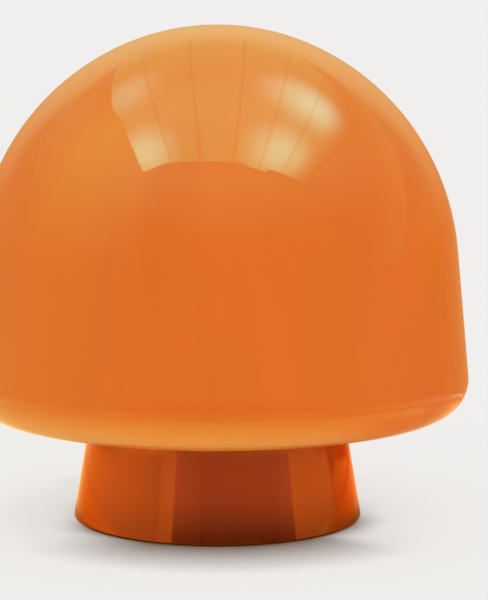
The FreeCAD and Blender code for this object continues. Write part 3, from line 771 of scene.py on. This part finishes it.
def threaded(root, below, above, thickness, outwards):
    """Sheet with a rolled thread that runs out onto circles, its wall on the outside or the inside."""
    low = below[0][1] + THREAD_RUNOUT
    high = above[0][1] - THREAD_RUNOUT
    bm = helix(root, low, high)
    run_out(bm, cut_loop(bm, low), below)
    run_out(bm, cut_loop(bm, high), above)
    bmesh.ops.recalc_face_normals(bm, faces=bm.faces)
    facing = sum(f.normal.xy.dot(f.calc_center_median().xy) * f.calc_area() for f in bm.faces)
    offset = -thickness if (facing > 0) == outwards else thickness
    bmesh.ops.solidify(bm, geom=bm.faces[:], thickness=offset)
    bmesh.ops.recalc_face_normals(bm, faces=bm.faces)
    return bm


def brass_shell():
    """Threaded brass sleeve on a flange, which the bulb's cap screws into."""
    low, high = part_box("screw_shell")
    below = ((SHELL_BORE, low[2] + SHELL_FOOT), (SHELL_BORE, low[2]), (high[0], low[2]))
    above = ((SHELL_BORE, high[2] - THREAD_RUNOUT), (SHELL_BORE, high[2]))
    bm = threaded(SHELL_BORE - THREAD_DEPTH, below, above, SHELL_SHEET, outwards=True)
    piece("brass_shell", bm, "base", "screw_shell", "contact_brass")


def screw_cap():
    """Plated cap of the bulb: a cone from the insulator, a rolled thread and a collar round the glass."""
    low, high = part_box("bulb_cap")
    radius, top = high[0], high[2]
    root = radius - THREAD_DEPTH
    below = ((root, low[2] + CAP_CONE), (CAP_HOLE + CAP_SHEET, low[2]))
    above = ((radius, top - CAP_COLLAR), (radius, top - CAP_SHEET), (radius - CAP_SHEET / 2, top))
    bm = threaded(root, below, above, CAP_SHEET, outwards=False)
    piece("screw_cap", bm, "bulb", "bulb_cap", "bulb_plating")


# Bulb

def bulb_envelope():
    """Clear pear-shaped glass with one even wall, whose neck stands in the cap."""
    low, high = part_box("bulb_glass")
    globe = (0.0, high[2] - GLOBE_RADIUS)
    aside = BULB_NECK + BULB_FLARE
    flare = (aside, globe[1] - math.sqrt((GLOBE_RADIUS + BULB_FLARE) ** 2 - aside ** 2))
    lean = math.degrees(math.atan2(aside, flare[1] - globe[1]))
    inside = BULB_NECK - BULB_WALL
    outline = Outline(0, high[2]).arc(globe, lean).arc(flare, 90 - lean)
    outline.line(BULB_NECK, low[2], BULB_WALL / 3).line(inside, low[2], BULB_WALL / 3)
    outline.line(inside, flare[1]).arc(flare, lean - 90).arc(globe, -lean)
    piece("bulb_envelope", outline.turn(closed=False), "bulb", "bulb_glass", "bulb_clear")


def glass_stem():
    """Glass mount: a trumpet that seals the neck, drawn up to a thin round-ended stem."""
    low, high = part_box("bulb_stem")
    rim = low[2] + 2 * BULB_WALL
    neck = high[2] - STEM_TOP_RADIUS
    outline = Outline(0, low[2]).line(high[0], low[2], BULB_WALL / 3).line(high[0], rim)
    outline.arc((high[0], rim + high[0] - STEM_RADIUS), 90)
    outline.line(STEM_TOP_RADIUS, neck).arc((0, neck), -90)
    piece("glass_stem", outline.turn(closed=False), "bulb", "bulb_stem", "bulb_clear")


def filament_sticks():
    """Coated sticks with thin metal pins, leaning outwards round the axis."""
    coat_end = STICK_LENGTH - PIN_LENGTH
    outline = Outline(0, 0).line(PIN_RADIUS, 0).line(PIN_RADIUS, PIN_LENGTH)
    outline.line(STICK_RADIUS, PIN_LENGTH, STICK_RADIUS / 3).line(STICK_RADIUS, coat_end, STICK_RADIUS / 3)
    outline.line(PIN_RADIUS, coat_end).line(PIN_RADIUS, STICK_LENGTH).line(0, STICK_LENGTH)
    bm = outline.turn(STICK_SEGMENTS, closed=False)
    lean = math.radians(STICK_LEAN)
    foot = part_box("bulb_filaments")[0][2] + STICK_RADIUS * math.sin(lean)
    place = Matrix.Rotation(math.radians(STICK_TURN), 4, "Z") @ Matrix.Translation((STICK_RING, 0, foot))
    bmesh.ops.transform(bm, matrix=place @ Matrix.Rotation(lean, 4, "Y"), verts=bm.verts)
    bmesh.ops.spin(
        bm, geom=whole(bm), cent=(0, 0, 0), axis=(0, 0, 1),
        angle=2 * math.pi * (STICKS - 1) / STICKS, steps=STICKS - 1, use_duplicate=True,
    )
    piece("filament_sticks", bm, "bulb", "bulb_filaments", "filament_coating")


def bulb_end():
    """Solder dome and the black glass cone above it."""
    low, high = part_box("bulb_tip")
    radius = high[0]
    bulge = high[2] - low[2] - TIP_EDGE
    round_radius = (radius ** 2 + bulge ** 2) / (2 * bulge)
    swing = math.degrees(math.asin(radius / round_radius))
    tip = Outline(0, low[2]).arc((0, low[2] + round_radius), -swing)
    tip.line(radius, high[2]).line(0, high[2])
    piece("solder_tip", tip.turn(closed=False), "bulb_foot", "bulb_tip", "solder")
    low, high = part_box("bulb_insulator")
    cone = Outline(0, low[2]).line(radius, low[2], TIP_EDGE).line(high[0], low[2] + CONE_HEIGHT, TIP_EDGE)
    cone.line(high[0], high[2]).line(0, high[2])
    piece("black_cone", cone.turn(closed=False), "bulb_foot", "bulb_insulator", "black_glass")


# Carried-over construction

CONSTRUCTION = {
    "plate_coating": ["bottom_plate"],
    "cast_iron": ["ballast_ring"],
    "screw_steel": ["plate_screws", "support_pillars", "threaded_tube", "tube_washer", "tube_nut",
                    "holder_terminal_screws", "terminal_screws", "block_screw"],
    "porcelain": ["holder_core"],
    "contact_brass": ["centre_contact", "holder_terminals"],
    "live_insulation": ["live_lead"],
    "neutral_insulation": ["neutral_lead"],
    "block_nylon": ["terminal_block"],
    "bulb_plating": ["bulb_supports"],
}


def dress_construction():
    """Gives each CAD node that stays in view its finish."""
    for finish, nodes in CONSTRUCTION.items():
        for name in nodes:
            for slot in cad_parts[name].material_slots:
                slot.material = FINISHES[finish]


# Studio

FLOOR_COLOUR = rgb(0.871, 0.863, 0.846)
FLOOR_SIZE = 20.0
SHADOW_COLOUR = rgb(0.095, 0.055, 0.022)
# The lamp's shadow on the floor, from ambient occlusion: a wide one and a tight line along the foot. Depths
# are spans of openness. Front, back and the line's side are cosines from the aim.
CONTACT_SAMPLES = 8
CONTACT_REACH = 0.066
CONTACT_DEPTH = (1.0, 0.575)
CONTACT_LINE_REACH = 0.022
CONTACT_LINE_DEPTH = (1.0, 0.5)
CONTACT_LINE_SIDE = (0.0, 0.5)
CONTACT_LINE_SHARE = 0.33
CONTACT_AIM = 5.0
CONTACT_FRONT = (0.4, 0.9)
CONTACT_BACK = (-0.5, -0.95)
CONTACT_BEHIND = 0.6
CONTACT_SIDE = 0.15
CONTACT_RIGHT_TURN = (42, 54)
CONTACT_RIGHT = 0.4
SOFT_SHADOW_SHARE = 0.12

# The near floor as gloss mirrors it: pale in front, amber on the left and behind, shaded on the right, dark
# at the foot. Turns are in degrees from the front towards +X, reaches in metres from the lamp's axis.
FRONT_FLOOR = rgb(0.9, 1.0, 0.6)
FAR_FRONT = rgb(0.6, 0.45, 0.4)
LEFT_FLOOR = rgb(0.9, 0.78, 0.33)
SIDE_FLOOR = rgb(1.15, 0.75, 0.3)
FAR_SIDE = rgb(1.05, 0.4, 0.1)
LEFT_SIDE = rgb(1.22, 1.08, 0.45)
FAR_LEFT_SIDE = rgb(1.12, 0.95, 0.5)
SHADED_FLOOR = rgb(0.42, 0.4, 0.2)
FAR_SHADED = rgb(0.55, 1.1, 0.6)
FOOT_SHADE = rgb(0.28, 0.12, 0.08)
RIM_SHADE = rgb(0.07, 0.03, 0.02)
LEFT_TURN = (-30, -88)
LEFT_BACK_TURN = (-85, -128)
SHADED_TURN = (30, 66)
SHADED_BACK_TURN = (80, 95)
BACK_TURN = (78, 130)
FRONT_REACH = (0.22, 0.38)
SHADED_REACH = (0.2, 0.28)
BACK_REACH = (0.28, 0.33)
FOOT_REACH = (0.115, 0.086)
FOOT_SIDE_TURN = (55, 85)
FOOT_SIDE_SHARE = 0.45
RIM_REACH = (0.094, 0.089)
RIM_TURN = (65, 35)
LIP_REACH = (0.08, 0.155)
NEAR_REACH = (0.38, 0.44)
SKY_LEVEL = 0.9
SKY_RISE = 0.15

# The room that gloss mirrors: plain in front, a window on the left, and a backdrop behind, amber low down.
# Rises are in degrees above the floor.
FRONT_GLOW = 0.66
CEILING_GLOW = 0.9
WINDOW_GLOW = 0.5
WINDOW_LOW_GLOW = 0.2
WINDOW_TINT = rgb(1.0, 1.1, 0.55)
BACKDROP_LOW = rgb(0.75, 0.36, 0.12)
BACKDROP_HIGH = rgb(0.95, 1.5, 0.75)
ROOF_COLOUR = rgb(0.8, 0.95, 0.45)
BACKDROP_TOP = (0.78, 0.95)
BACKDROP_SIDE = (0.6, 1.0)
BACKDROP_SIDE_GLOW = 0.6
BACKDROP_RISE = (2, 38)
BACKDROP_RIGHT_TURN = (60, 130)
BACKDROP_LEFT_TURN = (-95, -150)
LEAST_DEPTH = 0.05
CEILING_RISE = (15, 48)
LOW_RISE = (0, 20)
WINDOW_FRONT_TURN = (-28, -60)
WINDOW_BACK_TURN = (-125, -80)
WINDOW_TINT_TURN = (-35, -95)

# Low cards round the base: degrees from the front towards +X, glow at both ends, share of it left at the dark
# foot, colour, and cut, as height and slope: it leaves them lower towards the back. Their shades slant too.
CARD_RADIUS = 0.36
CARD_CUT = (0.097, 0.12)
LOW_CARD_CUT = (0.118, 0.187)
SHADE_SLANT = 0.1
CARD_FOOT = (0.022, 0.06)
CARD_SILL = (0.024, 0.014)
CARD_TOP = (0.078, 0.095)
CARD_TOP_SHARE = 0.85
SIDE_CARD = rgb(1.0, 1.0, 0.7)
FRONT_CARD = rgb(1.0, 0.87, 1.1)
AMBER_CARD = rgb(1.0, 0.75, 0.38)
CARDS = {
    "left_card": (-146, -42.5, 1.28, 0.69, 0.62, SIDE_CARD, CARD_CUT),
    "window_card": (-42.5, -31.5, 0.8, 0.85, 0.6, SIDE_CARD, CARD_CUT),
    "front_left_card": (-31.5, -12, 0.65, 0.53, 0.2, FRONT_CARD, CARD_CUT),
    "front_card": (-12, 40, 0.52, 0.53, 0.08, FRONT_CARD, CARD_CUT),
    "edge_card": (40, 56.5, 0.53, 0.63, 0.08, FRONT_CARD, CARD_CUT),
    "right_card": (56.5, 97, 0.81, 0.83, 0.43, SIDE_CARD, CARD_CUT),
    "right_low_card": (97, 132, 0.83, 1.15, 0.5, AMBER_CARD, LOW_CARD_CUT),
}
# A dark sliver just before the right cards: degrees and heights of its corners
SLIVER_RADIUS = 0.355
SLIVER_CORNERS = ((96.5, 0.053), (112, 0.036), (101, 0.022))
SLIVER_COLOUR = rgb(0.62, 0.45, 0.3)

PANEL_HEIGHT = 1.6
PANEL_CORNERS = ((-1.04, -1.03), (-0.67, -0.99), (-0.37, -1.04), (0.36, -1.08), (0.4, -1.13), (0.67, -1.16),
                 (0.67, -1.1), (1.3, -1.13), (1.5, 0.5), (0.95, 1.15), (0.6, 1.5), (-0.8, 1.5), (-0.99, 0.3),
                 (-0.94, -0.06))
PANEL_FADE = (1.0, 1.5)
PANEL_CORNER_FADE = (1.12, 1.65)
PANEL_CORNER_SLANT = 0.35
PANEL_TINT = (-0.35, 0.55)
PANEL_END = (0.5, 1.1)
PANEL_FRONT_COLOUR = rgb(1.2, 3.4, 2.7)
PANEL_BACK_COLOUR = rgb(0.5, 2.0, 1.0)
PANEL_END_COLOUR = rgb(0.7, 1.6, 0.65)
PANEL_SEAMS = (-0.57, -0.2, 0.2, 0.55, 0.9)
PANEL_SEAM_WIDTH = (0.016, 0.034)
PANEL_SEAM_SPREAD = (0.5, -1.0)
PANEL_SEAM_GLOW = 0.75
FRONT_LAMP = rgb(0.4, 1.0, 1.6)
BACK_LAMP = rgb(0.25, 1.0, 1.25)
# Lamps behind the cloth: x, y, glow, reach across, reach in depth, colour
PANEL_LAMPS = (
    (-0.79, 0.38, 1.8, 0.45, 0.5, BACK_LAMP),
    (0.9, 0.22, 5.2, 0.72, 0.55, BACK_LAMP),
    (-0.84, -0.72, 5.8, 0.52, 0.6, FRONT_LAMP),
    (0.74, -0.76, 5.8, 0.6, 0.65, FRONT_LAMP),
)


def room_group():
    """Colour of the mirrored room in a direction."""
    tree, given, out = new_group("mirrored_room", [("Direction", PLACE, (0, 0, 0))], [("Color", COLOUR)])
    ray = vector(tree, "NORMALIZE", given["Direction"])["Vector"]
    axes = add(tree, "ShaderNodeSeparateXYZ", {"Vector": ray}).outputs
    turn = degrees_round(tree, axes)
    rise = times(tree, calc(tree, "ARCSINE", axes["Z"]), math.degrees(1))
    level = remap(tree, rise, *CEILING_RISE, FRONT_GLOW, FRONT_GLOW + CEILING_GLOW)
    window = remap(tree, turn, *WINDOW_FRONT_TURN)
    window = times(tree, window, remap(tree, turn, *WINDOW_BACK_TURN))
    window_level = remap(tree, rise, *LOW_RISE, WINDOW_LOW_GLOW, WINDOW_LOW_GLOW + WINDOW_GLOW)
    level = calc(tree, "ADD", level, times(tree, window, window_level))
    front = blend(tree, turn, WINDOW_TINT_TURN, rgb(1, 1, 1), WINDOW_TINT)
    front = mix(tree, 1.0, front, level, "MULTIPLY")
    depth = calc(tree, "MAXIMUM", axes["Y"], LEAST_DEPTH)
    steep = calc(tree, "DIVIDE", axes["Z"], depth)
    aside = calc(tree, "DIVIDE", calc(tree, "ABSOLUTE", axes["X"]), depth)
    backdrop = blend(tree, rise, BACKDROP_RISE, BACKDROP_LOW, BACKDROP_HIGH, smooth=False)
    dimming = remap(tree, aside, *BACKDROP_SIDE)
    dimming = times(tree, dimming, remap(tree, rise, *LOW_RISE))
    dimming = remap(tree, dimming, 0.0, 1.0, 1.0, BACKDROP_SIDE_GLOW, smooth=False)
    backdrop = mix(tree, 1.0, backdrop, dimming, "MULTIPLY")
    backdrop = blend(tree, steep, BACKDROP_TOP, backdrop, ROOF_COLOUR)
    behind = remap(tree, turn, *BACKDROP_RIGHT_TURN)
    behind = calc(tree, "MAXIMUM", behind, remap(tree, turn, *BACKDROP_LEFT_TURN))
    tree.links.new(mix(tree, behind, front, backdrop), out["Color"])
    return tree


def occlusion(tree, reach, depth):
    """How deep a place lies in the shadow of what stands within reach."""
    inputs = {"Distance": reach}
    openness = add(tree, "ShaderNodeAmbientOcclusion", inputs, samples=CONTACT_SAMPLES).outputs["AO"]
    return remap(tree, openness, *depth, smooth=False)


def contact_shadow(tree, place, away, turn):
    """Depth of the lamp's shadow: wide in front and behind, faint at the sides, and a line at the foot."""
    facing = calc(tree, "DIVIDE", towards(tree, place, CONTACT_AIM), away)
    weight = remap(tree, facing, *CONTACT_FRONT, CONTACT_SIDE, 1.0)
    weight = times(tree, weight, remap(tree, turn, *CONTACT_RIGHT_TURN, 1.0, CONTACT_RIGHT))
    weight = calc(tree, "MAXIMUM", weight, remap(tree, facing, *CONTACT_BACK, 0.0, CONTACT_BEHIND))
    wide = times(tree, occlusion(tree, CONTACT_REACH, CONTACT_DEPTH), weight)
    share = remap(tree, facing, *CONTACT_LINE_SIDE, CONTACT_LINE_SHARE, 1.0)
    tight = times(tree, occlusion(tree, CONTACT_LINE_REACH, CONTACT_LINE_DEPTH), share)
    return calc(tree, "MAXIMUM", wide, tight)


def near_floor(tree, away, turn):
    """Colour of the floor round the lamp as gloss mirrors it."""
    colour = blend(tree, away, FRONT_REACH, FRONT_FLOOR, FAR_FRONT, smooth=False)
    colour = blend(tree, away, LIP_REACH, SHADED_FLOOR, colour)
    colour = blend(tree, turn, LEFT_TURN, colour, LEFT_FLOOR)
    left_back = blend(tree, away, BACK_REACH, LEFT_SIDE, FAR_LEFT_SIDE)
    colour = blend(tree, turn, LEFT_BACK_TURN, colour, left_back)
    beyond = remap(tree, away, *SHADED_REACH)
    beyond = calc(tree, "SUBTRACT", beyond, remap(tree, turn, *SHADED_BACK_TURN), clamp=True)
    shaded = mix(tree, beyond, SHADED_FLOOR, FAR_SHADED)
    colour = blend(tree, turn, SHADED_TURN, colour, shaded)
    right_back = blend(tree, away, BACK_REACH, SIDE_FLOOR, FAR_SIDE)
    colour = blend(tree, turn, BACK_TURN, colour, right_back)
    aside = calc(tree, "ABSOLUTE", turn)
    at_foot = remap(tree, aside, *FOOT_SIDE_TURN, 1.0, FOOT_SIDE_SHARE)
    at_foot = times(tree, remap(tree, away, *FOOT_REACH), at_foot)
    colour = mix(tree, at_foot, colour, FOOT_SHADE)
    at_rim = times(tree, remap(tree, away, *RIM_REACH), remap(tree, aside, *RIM_TURN))
    return mix(tree, at_rim, colour, RIM_SHADE)


def floor(room_view):
    """Wide floor: pale to the eye with the lamp's shadow, matt to light, and the room's floor to gloss."""
    bm = bmesh.new()
    bmesh.ops.create_grid(bm, x_segments=1, y_segments=1, size=FLOOR_SIZE)
    material, tree, surface = glowing("floor")
    place, axes = object_axes(tree)
    away = vector(tree, "LENGTH", place)["Value"]
    turn = degrees_round(tree, axes)
    shadow = contact_shadow(tree, place, away, turn)
    pale = emission(tree, mix(tree, shadow, FLOOR_COLOUR, SHADOW_COLOUR))
    matt = add(tree, "ShaderNodeBsdfDiffuse", {"Color": FLOOR_COLOUR}).outputs[0]
    seen = mix_shader(tree, SOFT_SHADOW_SHARE, pale, matt)
    far = effect(tree, room_view, {"Direction": place})["Color"]
    mirrored = blend(tree, away, NEAR_REACH, near_floor(tree, away, turn), far)
    tree.links.new(by_ray(tree, seen, emission(tree, mirrored), matt), surface)
    stage_piece("floor", bm, material)


def stage_piece(name, bm, material):
    """Object that belongs to the studio and not to the lamp."""
    made = new_object(name, bm, material)
    return made


def gloss_only(name, bm, material):
    """Studio piece that only reflections show."""
    made = stage_piece(name, bm, material)
    made.visible_camera = False
    made.visible_diffuse = False
    made.visible_transmission = False
    made.visible_shadow = False


def glowing(name):
    """Material with an empty node tree and an output."""
    material = bpy.data.materials.new(name)
    material.use_nodes = True
    tree = material.node_tree
    tree.nodes.clear()
    return material, tree, add(tree, "ShaderNodeOutputMaterial").inputs["Surface"]


def overhead_panel():
    """Cloth light panel above the lamp: sewn from strips, with four lamps behind it and a soft right side."""
    bm = bmesh.new()
    bm.faces.new([bm.verts.new((x, y, PANEL_HEIGHT)) for x, y in PANEL_CORNERS])
    material, tree, surface = glowing("panel")
    place, axes = object_axes(tree)
    cloth = blend(tree, axes["Y"], PANEL_TINT, PANEL_FRONT_COLOUR, PANEL_BACK_COLOUR)
    cloth = blend(tree, axes["Y"], PANEL_END, cloth, PANEL_END_COLOUR)
    seam_width = remap(tree, axes["Y"], *PANEL_SEAM_SPREAD, *PANEL_SEAM_WIDTH, smooth=False)
    seams = 1.0
    for x in PANEL_SEAMS:
        off = calc(tree, "ABSOLUTE", calc(tree, "SUBTRACT", axes["X"], x))
        seams = times(tree, remap(tree, off, 0.0, seam_width, PANEL_SEAM_GLOW, 1.0), seams)
    glow = emission(tree, cloth, seams)
    for x, y, level, across, along, colour in PANEL_LAMPS:
        off = vector(tree, "SUBTRACT", place, (x, y, PANEL_HEIGHT))["Vector"]
        off = vector(tree, "MULTIPLY", off, (1 / across, 1 / along, 1))["Vector"]
        fade = remap(tree, vector(tree, "LENGTH", off)["Value"], 1.0, 0.0, 0.0, level)
        lamp = emission(tree, colour, times(tree, fade, seams))
        glow = add(tree, "ShaderNodeAddShader", {0: glow, 1: lamp}).outputs[0]
    corner = calc(tree, "ADD", axes["X"], times(tree, axes["Y"], PANEL_CORNER_SLANT))
    corner = remap(tree, corner, *PANEL_CORNER_FADE)
    faded = calc(tree, "MAXIMUM", remap(tree, axes["X"], *PANEL_FADE), corner)
    clear = add(tree, "ShaderNodeBsdfTransparent").outputs[0]
    tree.links.new(mix_shader(tree, faded, glow, clear), surface)
    gloss_only("overhead_panel", bm, material)


def low_card(name, start, end, start_glow, end_glow, foot_share, colour, cut):
    """Low curved card that the base mirrors, darker at its foot."""
    bm = bmesh.new()
    side = math.radians(start - 90)
    low = bm.verts.new((CARD_RADIUS * math.cos(side), CARD_RADIUS * math.sin(side), 0))
    edge = bmesh.ops.extrude_vert_indiv(bm, verts=[low])["edges"]
    bmesh.ops.translate(bm, vec=(0, 0, cut[0]), verts=[v for v in edge[0].verts if v is not low])
    bmesh.ops.spin(
        bm, geom=bm.verts[:] + edge, cent=(0, 0, 0), axis=(0, 0, 1), angle=math.radians(end - start),
        steps=max(2, round((end - start) / ARC_STEP)),
    )
    bmesh.ops.bisect_plane(
        bm, geom=whole(bm), plane_co=(0, -CARD_RADIUS, cut[0]), plane_no=(0, cut[1], 1), clear_outer=True,
    )
    material, tree, surface = glowing(name)
    axes = object_axes(tree)[1]
    across = remap(tree, degrees_round(tree, axes), start, end, start_glow, end_glow, smooth=False)
    set_back = times(tree, calc(tree, "ADD", axes["Y"], CARD_RADIUS), SHADE_SLANT)
    level = calc(tree, "ADD", axes["Z"], set_back)
    foot = remap(tree, level, *CARD_FOOT, foot_share, 1.0, smooth=False)
    foot = calc(tree, "MAXIMUM", foot, remap(tree, level, *CARD_SILL))
    upward = times(tree, foot, remap(tree, level, *CARD_TOP, 1.0, CARD_TOP_SHARE))
    tree.links.new(emission(tree, colour, times(tree, across, upward)), surface)
    gloss_only(name, bm, material)


def dark_sliver():
    """Narrow dark card that the base mirrors beside its right edge."""
    bm = bmesh.new()
    corners = []
    for turn, height in SLIVER_CORNERS:
        a = math.radians(turn)
        corners.append(bm.verts.new((SLIVER_RADIUS * math.sin(a), -SLIVER_RADIUS * math.cos(a), height)))
    bm.faces.new(corners)
    material, tree, surface = glowing("dark_sliver")
    tree.links.new(emission(tree, SLIVER_COLOUR), surface)
    gloss_only("dark_sliver", bm, material)


def room(room_view):
    """World: pale to the eye and through glass, an even sky for matt light, and a studio for gloss."""
    world = bpy.data.worlds.new("studio")
    bpy.context.scene.world = world
    world.use_nodes = True
    tree = world.node_tree
    tree.nodes.clear()
    ray = add(tree, "ShaderNodeTexCoord").outputs["Generated"]
    height = add(tree, "ShaderNodeSeparateXYZ", {"Vector": ray}).outputs["Z"]
    sky_strength = remap(tree, height, 0.0, 1.0, SKY_LEVEL, SKY_LEVEL + SKY_RISE, smooth=False)
    sky = add(tree, "ShaderNodeBackground", {"Strength": sky_strength, "Color": rgb(1, 1, 1)}).outputs[0]
    mirrored = effect(tree, room_view, {"Direction": ray})["Color"]
    gloss = add(tree, "ShaderNodeBackground", {"Color": mirrored}).outputs[0]
    pale = add(tree, "ShaderNodeBackground", {"Color": FLOOR_COLOUR}).outputs[0]
    out = add(tree, "ShaderNodeOutputWorld")
    tree.links.new(by_ray(tree, pale, gloss, sky), out.inputs["Surface"])


def camera():
    """Camera at the photograph's height, distance and framing."""
    lens = bpy.data.cameras.new("camera")
    lens.sensor_width = SENSOR
    lens.lens = FOCAL_PIXELS / IMAGE_HEIGHT * SENSOR
    lens.shift_x = (IMAGE_WIDTH / 2 - LAMP_AXIS_PIXEL) / IMAGE_HEIGHT
    made = bpy.data.objects.new("camera", lens)
    made.location = (0, -CAMERA_DISTANCE, CAMERA_HEIGHT)
    made.rotation_euler = (math.radians(90 - CAMERA_PITCH), 0, 0)
    bpy.context.scene.collection.objects.link(made)
    bpy.context.scene.camera = made


glass_dome()
drum()
cord_bush()
soft_rings()
holder_cup()
holder_sleeve()
brass_shell()
screw_cap()
bulb_envelope()
glass_stem()
filament_sticks()
bulb_end()
dress_construction()
mirrored_room = room_group()
floor(mirrored_room)
overhead_panel()
for card, card_values in CARDS.items():
    low_card(card, *card_values)
dark_sliver()
room(mirrored_room)
camera()
bpy.context.scene.view_settings.view_transform = "Standard"
